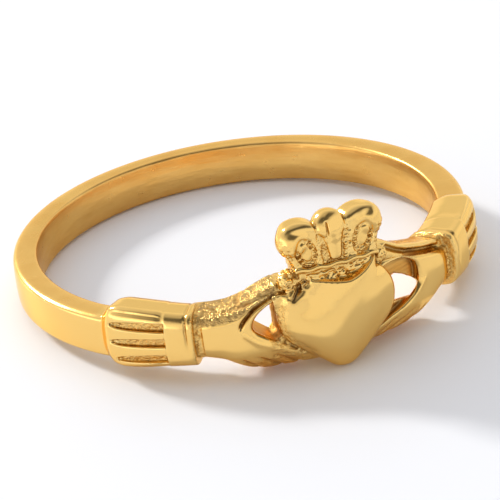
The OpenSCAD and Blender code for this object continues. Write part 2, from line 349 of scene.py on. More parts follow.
def cuff_field(s, r, z):
    """A sleeve with three slots, and a plain rimmed collar at the hand."""
    low, top, crest = cuff_low(s), cuff_top(s), cuff_crest(s)
    rise = collar_rise(s, z)
    front, scale = limb_front(z, low, top, crest + rise, *CUFF_FACE)
    edge_line = bell(z - top + 0.20, EDGE_LINE_W) * fade(s, 7.4, 7.6) * fade_out(s, 9.5, 9.9)
    front = front - EDGE_LINE_DEPTH * edge_line
    d_front = (r - front) * scale
    d_top = z - limb_top(r, top + 0.5 * rise, crest, CUFF_TOP_FALL)
    d = soft_max(soft_max(d_front, d_top, 0.15), -low - z, 0.28)
    d = soft_max(d, CUFF_REACH - s, 0.07)
    for ends in SLOT_ENDS:
        d = soft_max(d, -slot_field(s, r, z, front, scale, ends), SLOT_ROUND)
    return d


# Hands

# Columns: distance, lower edge, upper edge of the thumb, upper edge of the palm, crest
HAND_ROWS = [
    (6.45, 0.62, 1.36, 1.30, 1.66),
    (5.90, 0.63, 1.40, 1.32, 1.72),
    (5.50, 0.66, 1.42, 1.34, 1.79),
    (5.00, 0.74, 1.47, 1.39, 1.84),
    (4.45, 1.12, 1.58, 1.47, 1.86),
    (4.00, 1.34, 1.72, 1.57, 1.85),
    (3.55, 1.46, 1.90, 1.70, 1.83),
    (3.15, 1.50, 2.06, 1.83, 1.82),
    (2.85, 1.50, 2.17, 1.93, 1.80),
    (2.50, 1.50, 2.28, 2.00, 1.78),
    (2.00, 1.50, 2.30, 1.90, 1.76),
    (1.50, 1.50, 2.00, 1.50, 1.74),
    (0.80, 1.50, 0.60, 0.60, 1.68),
]
HAND_SMOOTH = 0.14
hand_low, hand_thumb, hand_palm, hand_crest = [
    Curve(HAND_ROWS, column, HAND_SMOOTH) for column in (1, 2, 3, 4)]
HAND_FACE = (3.0, 0.16, 0.36)
THUMB_FRONT, THUMB_FALL = 1.42, 0.12
# How much of the left thumb's roughness the right one has
RIGHT_ROUGH = 0.12

# The gap between thumb, fingers and heart. Its depth counts from GAP_FACE inside
# HEAD_R, and a whole depth further in it has moved by its lean.
GAP_FACE, GAP_DEPTH, GAP_LEAN = 0.12, 0.85, 0.14
GAP = smooth_path([
    (3.67, 0.70), (3.62, 0.92), (3.44, 1.18), (3.14, 1.42), (2.76, 1.60), (2.32, 1.48),
    (1.70, 0.60), (1.65, -0.66), (1.85, -0.60), (2.26, -0.32), (2.83, 0.00), (3.33, 0.31),
    (3.58, 0.50)], closed=True)
# The right gap is a recess of this depth, from which a tunnel runs on to the bore
RECESS_DEPTH = 0.42
GAP_RIGHT = smooth_path([
    (3.84, 0.82), (3.79, 1.26), (3.47, 1.62), (2.95, 1.76), (2.50, 1.72), (2.20, 1.45),
    (1.70, 0.60), (1.65, -0.66), (1.95, -0.66), (2.52, -0.50), (2.93, -0.33), (3.50, 0.05),
    (3.78, 0.48)], closed=True)
# The tunnel's section at GAP_DEPTH, and its move round and down for each further one
TUNNEL = [
    (2.00, 0.60), (3.54, 0.84), (3.92, 0.60), (4.70, -0.10), (4.60, -0.28), (4.16, -0.54),
    (3.42, -0.36), (2.00, 0.00)]
TUNNEL_LEAN = (0.95, 0.54)
# Behind the right palm the metal is hollowed out along this line
SCOOP = ((3.60, -0.20), (5.60, -0.75))
SCOOP_HALF, SCOOP_R = 0.50, 9.40
# Rough metal that closes the lower end of the left gap
GAP_FILL = [(2.80, -0.16), (2.52, 0.04), (2.32, 0.16), (2.00, 0.16), (1.40, -0.80), (2.20, -0.80)]

# Marks on the face: the crease outside the left gap, the groove between the right
# thumb and palm, the first finger's edge and the cuts between the fingers
CREASE = smooth_path([
    (4.24, 0.60), (4.10, 0.92), (3.87, 1.19), (3.52, 1.49), (3.09, 1.70), (2.74, 1.86),
    (2.58, 2.12)], closed=False)
THUMB_GROOVE = [(2.85, 2.36), (3.25, 2.03), (3.68, 1.75), (4.60, 1.45), (5.70, 1.14)]
groove_z = Curve(THUMB_GROOVE, 1, 0.12)
INDEX_EDGE = smooth_path([
    (4.05, 0.46), (3.67, 0.12), (3.31, -0.10), (2.31, -0.55), (1.16, -1.10)], closed=False)
FINGER_CUTS = [
    ((4.42, -0.60), (3.60, -1.30)),
    ((3.75, -0.56), (2.60, -1.40)),
    ((3.08, -0.54), (1.70, -1.48)),
]
# Below this line the face falls by KNUCKLE_FALL for a millimetre
knuckles = Curve([
    (5.2, -0.62), (4.52, -0.50), (3.85, -0.41), (3.06, -0.36), (2.57, -0.42), (1.65, -0.83),
    (1.0, -1.2)], 1, 0.10)
KNUCKLE_FALL = 0.30


def gap_field(s, r, z, right):
    """The open gap inside the hand, which on the right is undercut as well."""
    deep = (HEAD_R - GAP_FACE - r) / GAP_DEPTH
    gap = np.where(right, FAR, polygon_field(s, z + GAP_LEAN * np.clip(deep, 0, 1.3), GAP))
    near = right & (s < 6.3)
    s, r, z, further = s[near], r[near], z[near], deep[near] - 1
    recess = np.maximum(polygon_field(s, z, GAP_RIGHT), HEAD_R - RECESS_DEPTH - r)
    tunnel = polygon_field(s - TUNNEL_LEAN[0] * further, z + TUNNEL_LEAN[1] * further, TUNNEL)
    gap[near] = np.minimum(recess, tunnel)
    return gap


def carved_face(front, s, r, z, gap, right):
    """The palm's front face with knuckles, crease, finger edge and cuts, and a rough wrist."""
    front = front - KNUCKLE_FALL * np.clip(knuckles(s) - z, 0, 1)
    crease, share = path_field(s, z, CREASE)
    front = front - np.where(right, 0.0, 0.24) * bell(crease, 0.07) * fade(share, 0.0, 0.2)
    # Round the gap the face rolls in
    edge = np.clip(1 - gap / 0.2, 0, 1)
    front = front - 0.10 * edge ** 2 * fade(gap, -0.3, 0.0)
    ridge, share = path_field(s, z, INDEX_EDGE)
    front = front + 0.05 * bell(ridge, 0.09) * fade_out(share, 0.8, 1.0)
    for start, end in FINGER_CUTS:
        cut, share = segment_field(s, z, start, end)
        front = front - (0.05 + 0.15 * share) * bell(cut, 0.08) * fade(share, 0.0, 0.3)
    wrist = fade_out(np.abs(s - CUFF_REACH + 0.10), 0.05, 0.16)
    return front - wrist * (0.03 - 0.12 * grains(s, z, r, *WRIST_GRAIN))


def thumb_field(s, r, z, thumb, crest, rough):
    """The strip over the palm that runs out into the thumb, with the casting's lumps."""
    top = limb_top(r, thumb, crest, THUMB_FALL)
    strip = soft_max(r - BORE_R - THUMB_FRONT - 0.02 * (s - 4), z - top, 0.30)
    lumps = 0.6 * grains(s, z, r, *LUMPS) + 0.4 * grains(s, z, r, *SMALL_LUMPS)
    strip = strip - rough * 0.07 * (lumps - 0.35)
    # It stays behind the palm and doesn't show below the fingers
    return soft_max(strip, 0.15 - z, 0.15)


def gap_fill_field(s, r, z):
    """Teeth of rough metal at the lower end of the left gap."""
    teeth = grains(s, z, r, *FILL_GRAIN)
    fill = polygon_field(s, z, GAP_FILL) - 0.10 * teeth
    return soft_max(fill, r - HEAD_R + 0.30 - 0.24 * teeth, 0.08)


def hand_field(s, r, z, right):
    """Palm, thumb and fingers, at the distances of the left side."""
    low, thumb, palm, crest = hand_low(s), hand_thumb(s), hand_palm(s), hand_crest(s)
    # On the right the thumb stands higher, with its groove between it and the palm
    thumb = thumb + np.where(right, 0.40, 0.0) * fade_out(s, 2.5, 4.6)
    thumb = np.where(right, np.maximum(thumb, groove_z(s) + 0.30), thumb)
    palm = np.where(right, np.minimum(palm, groove_z(s) - 0.05), palm)
    gap = gap_field(s, r, z, right)
    front, scale = limb_front(z, low, palm, crest, *HAND_FACE)
    front = carved_face(front, s, r, z, gap, right)
    d = soft_max((r - front) * scale, z - palm, 0.22)
    strip = thumb_field(s, r, z, thumb, crest, np.where(right, RIGHT_ROUGH, 1.0))
    d = soft_min(d, strip, 0.04)
    groove, _ = path_field(s, z, THUMB_GROOVE)
    d = d + np.where(right, 0.22, 0.0) * bell(groove, 0.11) * fade(r, 9.5, 9.9)
    d = soft_max(d, -low - z, 0.30)
    d = soft_max(d, -gap, 0.10)
    d = np.where(right, d, soft_min(d, gap_fill_field(s, r, z), 0.05))
    scoop, _ = segment_field(s, z, *SCOOP)
    scoop = soft_max(scoop - SCOOP_HALF, r - SCOOP_R, 0.3)
    d = np.where(right, soft_max(d, -scoop, 0.15), d)
    # It ends inside the collar and behind the heart
    d = np.maximum(d, s - CUFF_REACH - 0.3)
    return np.maximum(d, 0.1 - s)


# Heart

TIP_POINTS, LOBE_POINTS = 8, 40
# The right half is a little wider than the left one
HEART_STRETCH = 1.04
# Fills the space between the lobes, so that the face runs on to the cut
NOTCH = [(-1.75, 3.3), (-1.75, 1.2), (-1.1, 0.5), (1.1, 0.5), (1.85, 1.2), (1.85, 3.3)]
# Rough metal between the heart's left lobe and the thumb
SHOULDER = [(-2.76, 1.95), (-2.70, 1.30), (-2.55, 0.90), (-1.80, 0.90), (-1.80, 2.00)]
# The lobes' tops are cut down along this line, in front of the crown's foot
heart_top = Curve([
    (-2.2, 2.50), (-1.5, 2.44), (-0.3, 2.21), (0.4, 2.12), (0.8, 2.23), (1.2, 2.34), (1.7, 2.55),
    (2.2, 2.60)], 1, 0.12)
DENT = ((-1.92, 1.76), (-1.34, 2.42))
DOME_STEP = 0.04
DOME_S = np.arange(-3.2, 3.2, DOME_STEP)
DOME_Z = np.arange(-2.4, 3.2, DOME_STEP)
# The face is a cushion at its border and a swell that leans to the right going up
CUSHION_RISE, CUSHION_BLUR = 0.36, 0.06
SWELL_RISE, SWELL_BLUR = 0.52, 0.30
SWELL_AT, SWELL_SIZE, SWELL_LEANS = (-0.15, 0.48), (2.7, 2.35), 0.62


def heart_outline():
    """A tip and two lobes, joined by straight sides."""
    lobe_s = HEART_W / 2 - LOBE_R
    tip_z = -HEART_DROP + TIP_R
    reach = math.hypot(lobe_s, LOBE_Z - tip_z)
    lean = math.atan2(lobe_s, LOBE_Z - tip_z) + math.asin((LOBE_R - TIP_R) / reach)
    notch = math.acos(-lobe_s / LOBE_R)
    right = []
    for i in range(TIP_POINTS + 1):
        a = -math.pi / 2 + (math.pi / 2 - lean) * i / TIP_POINTS
        right.append((TIP_R * math.cos(a), tip_z + TIP_R * math.sin(a)))
    for i in range(LOBE_POINTS + 1):
        a = -lean + (notch + lean) * i / LOBE_POINTS
        right.append((lobe_s + LOBE_R * math.cos(a), LOBE_Z + LOBE_R * math.sin(a)))
    return right + [(-s, z) for s, z in right[-2:0:-1]]


HEART = heart_outline()


def filled_heart(s, z):
    """Distance to the heart with the space between its lobes filled."""
    return np.minimum(polygon_field(s, z, HEART), polygon_field(s, z, NOTCH))


def blurred(grid, width):
    """The grid smoothed along both axes."""
    weights = gaussian(width, DOME_STEP)
    n = len(weights) // 2
    for axis in (0, 1):
        padded = np.pad(grid, [(n, n) if k == axis else (0, 0) for k in (0, 1)], "edge")
        grid = np.apply_along_axis(lambda row: np.convolve(row, weights, "valid"), axis, padded)
    return grid


def heart_dome():
    """Height of the heart's face over its edge, on a grid: a cushion with no creases."""
    s, z = np.meshgrid(DOME_S, DOME_Z, indexing="ij")
    depth = np.clip(-filled_heart(s, z), 0, None)
    # The border is softer low on the left
    left = fade_out(s, -1.6, -1.0) * fade_out(z, 1.2, 1.6)
    cushion = CUSHION_RISE * (1 - np.exp(-depth / (0.16 + 0.14 * left)))
    across = (s - SWELL_AT[0]) / SWELL_SIZE[0]
    along = (z - SWELL_AT[1] - SWELL_LEANS * s) / SWELL_SIZE[1]
    swell = SWELL_RISE * np.clip(1 - np.hypot(across, along) ** 2, 0, 1) * fade(depth, 0, 0.9)
    return blurred(cushion, CUSHION_BLUR) + blurred(swell, SWELL_BLUR)


DOME = heart_dome()


def dome_height(s, z):
    """The dome's height between the points of its grid."""
    i = np.clip((s - DOME_S[0]) / DOME_STEP, 0, len(DOME_S) - 1.001)
    k = np.clip((z - DOME_Z[0]) / DOME_STEP, 0, len(DOME_Z) - 1.001)
    i0, k0 = i.astype(int), k.astype(int)
    u, v = i - i0, k - k0
    return ((DOME[i0, k0] * (1 - u) + DOME[i0 + 1, k0] * u) * (1 - v)
            + (DOME[i0, k0 + 1] * (1 - u) + DOME[i0 + 1, k0 + 1] * u) * v)


def heart_face(s, r, z, wide, d):
    """Radius of the heart's domed face, with its dent and its grainy left border."""
    face = BORE_R + HEART_EDGE + dome_height(wide, z)
    dent, share = segment_field(s, z, *DENT)
    face = face - (0.12 + 0.24 * share) * bell(dent, 0.09 + 0.08 * share)
    border = fade(d, -0.50, -0.15) * fade_out(s, -1.2, -0.8) * fade_out(z, 1.8, 2.1)
    return face + 0.05 * border * (grains(s, z, 0.4 * r, *BORDER_GRAIN) - 0.5)


def heart_walls(s, r, z, d):
    """The sides, which draw in towards the bore, but for the rough left one beside the gap."""
    rough = fade_out(s, -1.2, -0.6) * fade_out(z, 0.9, 1.4)
    lean = 0.30 - rough * (0.36 + 0.30 * fade_out(z, -0.4, 0.6))
    walls = d + lean * (BORE_R + HEART_EDGE - r) / HEART_EDGE
    lumps = 0.07 * rough * (grains(s, z, r, *SIDE_GRAIN) - 0.4)
    return walls - lumps * fade_out(r, HEAD_R - 0.3, HEAD_R)


def heart_field(s, r, z):
    """A domed heart, whose lobes are cut down to the line where the crown's foot stands."""
    wide = np.where(s > 0, s / HEART_STRETCH, s)
    d = np.minimum(filled_heart(wide, z), polygon_field(s, z, SHOULDER))
    d_face = (r - heart_face(s, r, z, wide, d)) * 0.9
    rounding = np.where(s < -1.5, 0.08, 0.16)
    top_edge = z - heart_top(s) + 0.25 * np.maximum(r - BORE_R - 2.4, -0.8)
    return soft_max(soft_max(d_face, heart_walls(s, r, z, d), rounding), top_edge, 0.05)


# Crown

# Places are (a, q, z): a, the distance from the crown's middle to either side, q, how
# far out from its middle radius, and z, the height.
BALL_R = 0.73
CROWN_R = BORE_R + 2.2 - BALL_R
CROWN_SHIFT, CROWN_STRETCH = 0.07, 1.07
FOOT_Z = 2.40
LOBE = smooth_path([
    (1.66, 2.70), (1.90, 3.30), (2.16, 3.90), (2.20, 4.35), (1.95, 4.75), (1.50, 4.90),
    (1.00, 4.85), (0.62, 4.60), (0.52, 4.10), (0.50, 3.40), (0.50, 2.70)], closed=True)
# The cap's inner end and its radius, and its outer end, which has the radius BALL_R
CAP_IN, CAP_IN_R, CAP_OUT = (1.30, 0, 4.30), 0.64, (1.60, 0, 4.20)
# The oval on each outer petal: half its width and height, its middle and its ring of beads
OVAL = (0.34, 0.54)
OVAL_A, OVAL_Z, OVAL_LEAN = 1.22, 3.64, 0.18
OVAL_BEADS, OVAL_BEAD_R = 15, 0.070
BALL_LOW, BALL_LOW_R = (0, 0.08, 4.08), 0.60
BALL_HIGH, BALL_HIGH_R = (0, 0.08, 4.36), 0.75
SLIT = ((-0.26, 4.14), (-0.24, 4.70))
# The column of beads on each side of the leaf
COLUMN_Z, COLUMN_STEP, COLUMN_BEADS = 3.06, 0.17, 8
FOOT_HALF, RIDGE_HALF = 1.66, 1.78
NUGGET = (2.02, 0.05, 2.42)


def outer_petal(a, q, z, left, grain):
    """A broad lobe under a round cap, with a flat oval and tiny beads in a groove round it."""
    lobe = soft_max(polygon_field(a, z, LOBE), np.abs(q + 0.05) - 0.58, 0.40)
    # The left cap stands a little lower
    cap = round_cone(a, q, z + np.where(left, 0.12, 0.05), CAP_IN, CAP_IN_R, CAP_OUT, BALL_R)
    d = soft_min(lobe, cap, 0.05)
    oval_a = OVAL_A + OVAL_LEAN * (z - 3.60)
    across, up = (a - oval_a) / OVAL[0], (z - OVAL_Z) / OVAL[1]
    to_ring = (np.hypot(across, up) - 1) * OVAL[0]
    d = d + 0.14 * bell(to_ring, 0.085) * fade(q, 0, 0.3)
    apart = 2 * math.pi / OVAL_BEADS
    turn = np.round(np.arctan2(up, across) / apart) * apart
    bead = length(a - oval_a - OVAL[0] * np.cos(turn), z - OVAL_Z - OVAL[1] * np.sin(turn), q - 0.46)
    d = soft_min(d, bead - OVAL_BEAD_R - 0.02 * grain, 0.02)
    outside = fade(to_ring, 0.05, 0.20) * fade(z, 2.7, 2.9) * fade_out(z, 3.9, 4.3)
    return d - 0.06 * grain * outside * fade(q, 0.1, 0.4)


def middle_petal(s, q, z):
    """A ball with a flat front and a slit, over a smooth tapering leaf."""
    ball = round_cone(s, q, z, BALL_LOW, BALL_LOW_R, BALL_HIGH, BALL_HIGH_R)
    ball = soft_max(ball, q - 0.76 + 0.35 * (z - 4.3) + 0.25 * np.abs(s + 0.24), 0.22)
    slit, _ = segment_field(s, z, *SLIT)
    ball = ball + 0.18 * bell(slit, 0.04) * fade(q, 0.3, 0.5)
    half = 0.22 + 0.20 * np.clip((z - 2.95) / 1.1, 0, 1)
    leaf = soft_max(np.abs(s - 0.02) - half, q - 0.62 + 0.8 * s * s, 0.14)
    leaf = soft_max(leaf, np.abs(z - 3.7) - 0.66, 0.16)
    leaf = soft_max(leaf, -0.45 - q, 0.12)
    return soft_min(ball, leaf, 0.04)


def valley_plate(a, q, z, grain):
    """Granulated metal that closes the valleys between the petals."""
    plate = soft_max(a - 1.2, np.abs(q + 0.02) - 0.42, 0.15)
    return soft_max(plate, z - 4.35, 0.2) - 0.09 * grain * fade(q, 0, 0.2)


def leaf_beads(a, q, z, left):
    """A column of small beads on each side of the leaf, the left one almost worn away."""
    nth = np.clip(np.round((z - COLUMN_Z) / COLUMN_STEP), 0, COLUMN_BEADS - 1)
    bead_z = COLUMN_Z + COLUMN_STEP * nth
    size = np.where(left, 0.055, 0.095) + 0.02 * np.sin(bead_z * 23.0)
    return length(a - 0.42 - 0.12 * (bead_z - 3.0), z - bead_z, q - 0.44) - size


def foot_bar(s, a, q, z):
    """The bar that the petals stand on."""
    bar = soft_max(a - FOOT_HALF, q - 0.50 - 0.03 * waves(s, z, 0, 0.5, 4), 0.12)
    return soft_max(bar, np.abs(z - 2.72) - 0.22, 0.08)


def foot_ridge(s, a, q, z):
    """The wavy raised ridge on the bar."""
    ridge_z = 2.88 + 0.03 * np.cos(s * 8.0) - 0.04 * s
    return soft_max(np.hypot(z - ridge_z, q - 0.56) - 0.10, a - RIDGE_HALF, 0.05)


def foot_fill(a, q, z, grain):
    """The grains that fill the recess under the bar."""
    fill = soft_max(a - 1.60, q - 0.48 - 0.14 * grain, 0.1)
    return soft_max(fill, np.abs(z - 2.25) - 0.45, 0.1)


def nugget(a, q, z, left, grain):
    """A lump of cast metal that joins thumb, heart and crown, on each side."""
    size = np.where(left, 0.42, 0.33)
    return length(a - NUGGET[0], q - NUGGET[1], z - NUGGET[2]) - size - 0.13 * (grain - 0.3)


def crown_field(s, r, z):
    """Three petals on a foot, between two nuggets."""
    s = s - CROWN_SHIFT
    left = s < 0
    a, q = np.where(left, -s, s / CROWN_STRETCH), r - CROWN_R
    grain, foot_grain, nugget_grain = [
        grains(s, z, r, *kind) for kind in (CROWN_GRAIN, FOOT_GRAIN, NUGGET_GRAIN)]
    d = soft_min(outer_petal(a, q, z, left, grain), middle_petal(s, q, z), 0.04)
    d = soft_min(d, valley_plate(a, q, z, grain), 0.05)
    d = soft_min(d, leaf_beads(a, q, z, left), 0.04)
    d = np.maximum(d, FOOT_Z - z)
    d = soft_min(d, foot_bar(s, a, q, z), 0.06)
    d = soft_min(d, foot_ridge(s, a, q, z), 0.04)
    d = soft_min(d, foot_fill(a, q, z, foot_grain), 0.04)
    return soft_min(d, nugget(a, q, z, left, nugget_grain), 0.06)


# Whole ring

# The right hand and cuff are drawn out a little round the head. The columns are
# the real distance and the one on the left side that it stands for.
DRAWN_OUT = [
    (0, 0), (2.62, 2.62), (4.20, 3.78), (6.55, 6.10), (8.10, 7.35), (10.75, 10.05), (13.0, 12.3)]
# How far the bore is rounded across at the back of the band, at its edges
BORE_ROUNDING = 0.13


def left_place(s):
    """The distance on the left side that a place on either side stands for."""
    return np.where(s > 0, np.interp(s, *zip(*DRAWN_OUT)), -s)


def bore_line(s, z):
    """Radius of the bore."""
    return BORE_R + BORE_ROUNDING * np.clip(z / BAND_W * 2, -1, 1) ** 2 * fade(np.abs(s), 10.6, 11.6)


def ring_field(s, r, z):
    """The whole ring. Each sub-part is worked out only where it can be."""
    right = s > 0
    a = left_place(s)
    d = np.full(s.shape, FAR)

    def join(mask, values, k):
        old = d[mask]
        d[mask] = soft_min(old, values, k)

    m = np.abs(s) > 9.4
    d[m] = band_field(s[m], r[m], z[m])
    m = (a > 5.9) & (a < 11.0)
    join(m, cuff_field(a[m], r[m], z[m]), 0.06)
    m = (a > 0.05) & (a < 6.6)
    join(m, hand_field(a[m], r[m], z[m], right[m]), 0.04)
    m = np.abs(s) < 3.0
    join(m, heart_field(s[m], r[m], z[m]), 0.05)
    m = (np.abs(s) < 2.9) & (z > 1.4)
    join(m, crown_field(s[m], r[m], z[m]), 0.06)
    return soft_max(d, bore_line(s, z) - r, 0.08)


# Shares that the material reads

# How far out of and into the metal the hollows and the edges are looked for
HOLLOW_REACH, EDGE_REACH = 0.22, 0.10


def slot_share(a, r, z):
    """1 on the rough floors of the cuffs' slots."""
    slots = np.zeros(a.shape)
    deep = fade_out(r, BORE_R + cuff_crest(a) - 0.22, BORE_R + cuff_crest(a) - 0.08)
    for start, end in SLOT_ENDS:
        near, _ = segment_field(a, z, start, end)
        slots = np.maximum(slots, fade_out(near, 0.16, 0.22) * deep)
    return slots


def thumb_share(s, z):
    """1 on the rough upper side of the left thumb, and a trace of it on the right."""
    a = left_place(s)
    top = hand_thumb(a)
    strip = fade(z, top - 0.55, top - 0.30) * fade(a, 2.3, 2.7) * fade_out(a, 5.9, 6.1)
    return strip * np.where(s > 0, 0.15, 1.0)


def cast_roughness(s, r, z):
    """Share of the rough casting that the polish didn't reach."""
    a = left_place(s)
    wrist = fade_out(np.abs(a - CUFF_REACH + 0.12), 0.12, 0.26)
    crown = fade_out(np.abs(s), 1.9, 2.4) * fade(z, 2.05, 2.2) * fade_out(z, 4.1, 4.4)
    crown = crown * fade_out(r, CROWN_R + 0.44, CROWN_R + 0.56) * fade(r, CROWN_R - 0.3, CROWN_R)
    gap_end = fade(-s, 1.6, 1.9) * fade_out(-s, 2.9, 3.3) * fade_out(np.abs(z + 0.2), 0.35, 0.6)
    gap_end = gap_end * fade_out(r, HEAD_R - 0.30, HEAD_R - 0.15)
    heart_side = fade_out(s, -1.4, -1.0) * fade(s, -3.1, -2.9) * fade_out(z, 1.4, 1.8)
    heart_side = heart_side * fade(polygon_field(s, z, HEART), -0.45, -0.15)
    share = np.maximum.reduce([
        thumb_share(s, z), wrist, slot_share(a, r, z), crown, heart_side, gap_end])
    return np.clip(share, 0, 1) * fade(r, BORE_R + 0.05, BORE_R + 0.25)


def soil_and_shade_share(hollow, s, r, z):
    """Share of dark residue and painted shade, thick at the bottom of the hollows but thin on the
    crown.
    """
    a = left_place(s)
    # Painted shade together with dark residue at the bottom of the hollows
    soil_and_shade = 0.85 * hollow ** 1.5 * (1 - 0.35 * fade(z, 2.2, 2.6)) * (1 - 0.7 * slot_share(a, r, z))
    soil_and_shade = soil_and_shade * (1 - 0.5 * fade_out(np.abs(a - CUFF_REACH + 0.10), 0.1, 0.3))
    strip = thumb_share(s, z) * (s < 0) * (0.35 + 0.5 * grains(s, z, r, *SOIL_GRAIN))
    # Darker in the dent, and painted shade along the left crease and in the right thumb's groove
    dent, _ = segment_field(s, z, *DENT)
    in_dent = bell(dent, 0.14) * fade(r, HEAD_R - 0.3, HEAD_R)
    crease, along = path_field(a, z, CREASE)
    crease = bell(crease, 0.08) * fade(along, 0.05, 0.25) * (s < 0)
    groove, _ = path_field(a, z, THUMB_GROOVE)
    groove = 0.9 * bell(groove, 0.10) * (s > 0)
    return np.clip(np.maximum.reduce([soil_and_shade, strip, in_dent, crease, groove]), 0, 1)


def warm_shade_share(up, s, r, z):
    """Share of a warmer painted shade: 1 inside the bore, and much of it on the gaps' walls and on
    the band's upper side.
    """
    a = left_place(s)
    inside = fade_out(r - bore_line(s, z), 0.03, 0.08)
    walls = fade(a, 1.6, 2.0) * fade_out(a, 4.0, 4.6) * fade_out(r, HEAD_R - 0.35, HEAD_R - 0.2)
    walls = 1.8 * walls * fade_out(z, 1.6, 1.8) * (1 - inside)
    # Painted shade on the band's upward faces at the back
    rim = 0.8 * fade(np.abs(s), 10.9, 11.3) * fade(up, 0.5, 0.8)
    return np.maximum.reduce([inside, walls, rim])


def hollow_share(field_of, p, out, reach):
    """How deep in a hollow a point is: 0 on a flat or an edge, 1 at the bottom."""
    return np.clip(1 - field_of(*(p + out * reach).T) / reach, 0, 1)


def edge_share(field_of, p, out, reach):
    """How sharp an edge a point is on: 0 on a flat or in a hollow."""
    return np.clip(1 + field_of(*(p - out * reach).T) / reach, 0, 1)


# Net over the surface

CORNERS = list(product((0, 1), repeat=3))
SLICE = 24
PROBE = 0.012
TINY = 1e-9
SETTLE_ROUNDS, SETTLE_LIMIT, SETTLE_SHARE = 3, 0.04, 0.8
# The net is finest at the head. Each stretch round the ring ends at the first
# value, to both sides, and has steps of the second one.
ROUND_STRETCHES = [(4.6, 0.054), (6.7, 0.070), (11.2, 0.084), (ROUND / 2, 0.32)]
# Rows of (start, end, step)
R_STRETCHES = [(BORE_R - 0.12, 9.6, 0.085), (9.6, 11.5, 0.058)]
Z_STRETCHES = [(-2.0, 2.2, 0.065), (2.2, 5.3, 0.053)]


def graded(stretches):
    """Places from rows of (start, end, step)."""
    out = []
    for start, end, step in stretches:
        n = int(round((end - start) / step))
        out.extend(start + (end - start) * i / n for i in range(n))
    out.append(stretches[-1][1])
    return np.array(out)


def graded_round():
    """Places round the whole ring, the first of which follows the last."""
    head, head_step = ROUND_STRETCHES[0]
    right = []
    start = head
    for end, step in ROUND_STRETCHES[1:]:
        right.append((start, end, step))
        start = end
    left = [(-end, -start, step) for start, end, step in reversed(right)]
    return graded(left + [(-head, head, head_step)] + right)[:-1]


def sampled(field_of, s_axis, r_axis, z_axis):
    """The field on the whole grid, worked out slice by slice to spare memory."""
    f = np.empty((len(s_axis), len(r_axis), len(z_axis)), np.float32)
    for i in range(0, len(s_axis), SLICE):
        grid = np.meshgrid(s_axis[i:i + SLICE], r_axis, z_axis, indexing="ij")
        f[i:i + SLICE] = field_of(*[v.ravel() for v in grid]).reshape(grid[0].shape)
    return f


def cell_points(f, cells, low, high):
    """A point in each cell, in the middle of where the surface crosses its edges."""
    i, j, k = cells
    values = {c: f[(i + c[0]) % len(f), j + c[1], k + c[2]].astype(float) for c in CORNERS}
    total, hits = np.zeros((len(i), 3)), np.zeros(len(i))
    for axis, start in product(range(3), CORNERS):
        if start[axis]:
            continue
        end = tuple(1 if n == axis else start[n] for n in range(3))
        a, b = values[start], values[end]
        cross = (a < 0) != (b < 0)
        at = np.tile(np.array(start, float), (cross.sum(), 1))
        at[:, axis] = a[cross] / (a[cross] - b[cross])
        total[cross] += at
        hits[cross] += 1
    return low + (high - low) * total / hits[:, None]


def facing_out(quad, metal_first):
    """Quads from their four corners, turned so that they face out of the metal."""
    quad = np.stack(quad, 1)
    return np.where(metal_first[:, None], quad, quad[:, ::-1])


def cell_quads(inside, wrapped, index):
    """A quad round every edge of the grid that crosses the surface."""
    n = len(inside)
    i, j, k = np.nonzero((wrapped[:-1] != wrapped[1:])[:, 1:-1, 1:-1])
    j, k = j + 1, k + 1
    along_s = facing_out([index[i, j - 1, k - 1], index[i, j, k - 1], index[i, j, k],
                          index[i, j - 1, k]], inside[i, j, k])
    i, j, k = np.nonzero((inside[:, :-1] != inside[:, 1:])[:, :, 1:-1])
    k, p = k + 1, (i - 1) % n
    along_r = facing_out([index[p, j, k - 1], index[p, j, k], index[i, j, k],
                          index[i, j, k - 1]], inside[i, j, k])
    i, j, k = np.nonzero((inside[:, :, :-1] != inside[:, :, 1:])[:, 1:-1])
    j, p = j + 1, (i - 1) % n
    along_z = facing_out([index[p, j - 1, k], index[i, j - 1, k], index[i, j, k],
                          index[p, j, k]], inside[i, j, k])
    return np.concatenate([along_s, along_r, along_z])


def surface_net(field_of, s_axis, r_axis, z_axis, period):
    """Points and quads of a closed surface where the field is 0, periodic along s."""
    f = sampled(field_of, s_axis, r_axis, z_axis)
    inside = f < 0
    wrapped = np.concatenate([inside, inside[:1]])
    ns, nr, nz = f.shape
    count = np.zeros((ns, nr - 1, nz - 1), np.uint8)
    for i, j, k in CORNERS:
        count += wrapped[i:i + ns, j:j + nr - 1, k:k + nz - 1]
    cells = np.nonzero((count > 0) & (count < 8))
    index = np.full(count.shape, -1, np.int64)
    index[cells] = np.arange(len(cells[0]))
    s_next = np.append(s_axis[1:], s_axis[0] + period)
    i, j, k = cells
    low = np.stack([s_axis[i], r_axis[j], z_axis[k]], 1)
    high = np.stack([s_next[i], r_axis[j + 1], z_axis[k + 1]], 1)
    return cell_points(f, cells, low, high), cell_quads(inside, wrapped, index)


def gradient(field_of, p):
    """The field's slope along each axis."""
    out = np.empty_like(p)
    for axis in range(3):
        step = np.zeros(3)
        step[axis] = PROBE
        out[:, axis] = (field_of(*(p + step).T) - field_of(*(p - step).T)) / (2 * PROBE)
    return out


def settle(field_of, points):
    """Moves the net's points onto the surface along its gradient."""
    p = points.copy()
    for _ in range(SETTLE_ROUNDS):
        f = field_of(*p.T)
        grad = gradient(field_of, p)
        move = -grad * (f / np.maximum((grad ** 2).sum(1), 0.2))[:, None]
        reach = np.linalg.norm(move, axis=1)
        move *= np.minimum(1, SETTLE_LIMIT / np.maximum(reach, TINY))[:, None]
        p += SETTLE_SHARE * move
    return p


def upright(points):
    """The net's places (s, r, z) rolled up about the finger axis."""
    a = points[:, 0] / HEAD_R
    return np.stack([points[:, 1] * np.sin(a), -points[:, 1] * np.cos(a), points[:, 2]], 1)


def tipped(x, y, z):
    """A direction of the upright ring, turned to how the ring lies."""
    c, sn = math.cos(REST_TIP), math.sin(REST_TIP)
    return x, y * c + z * sn, -y * sn + z * c


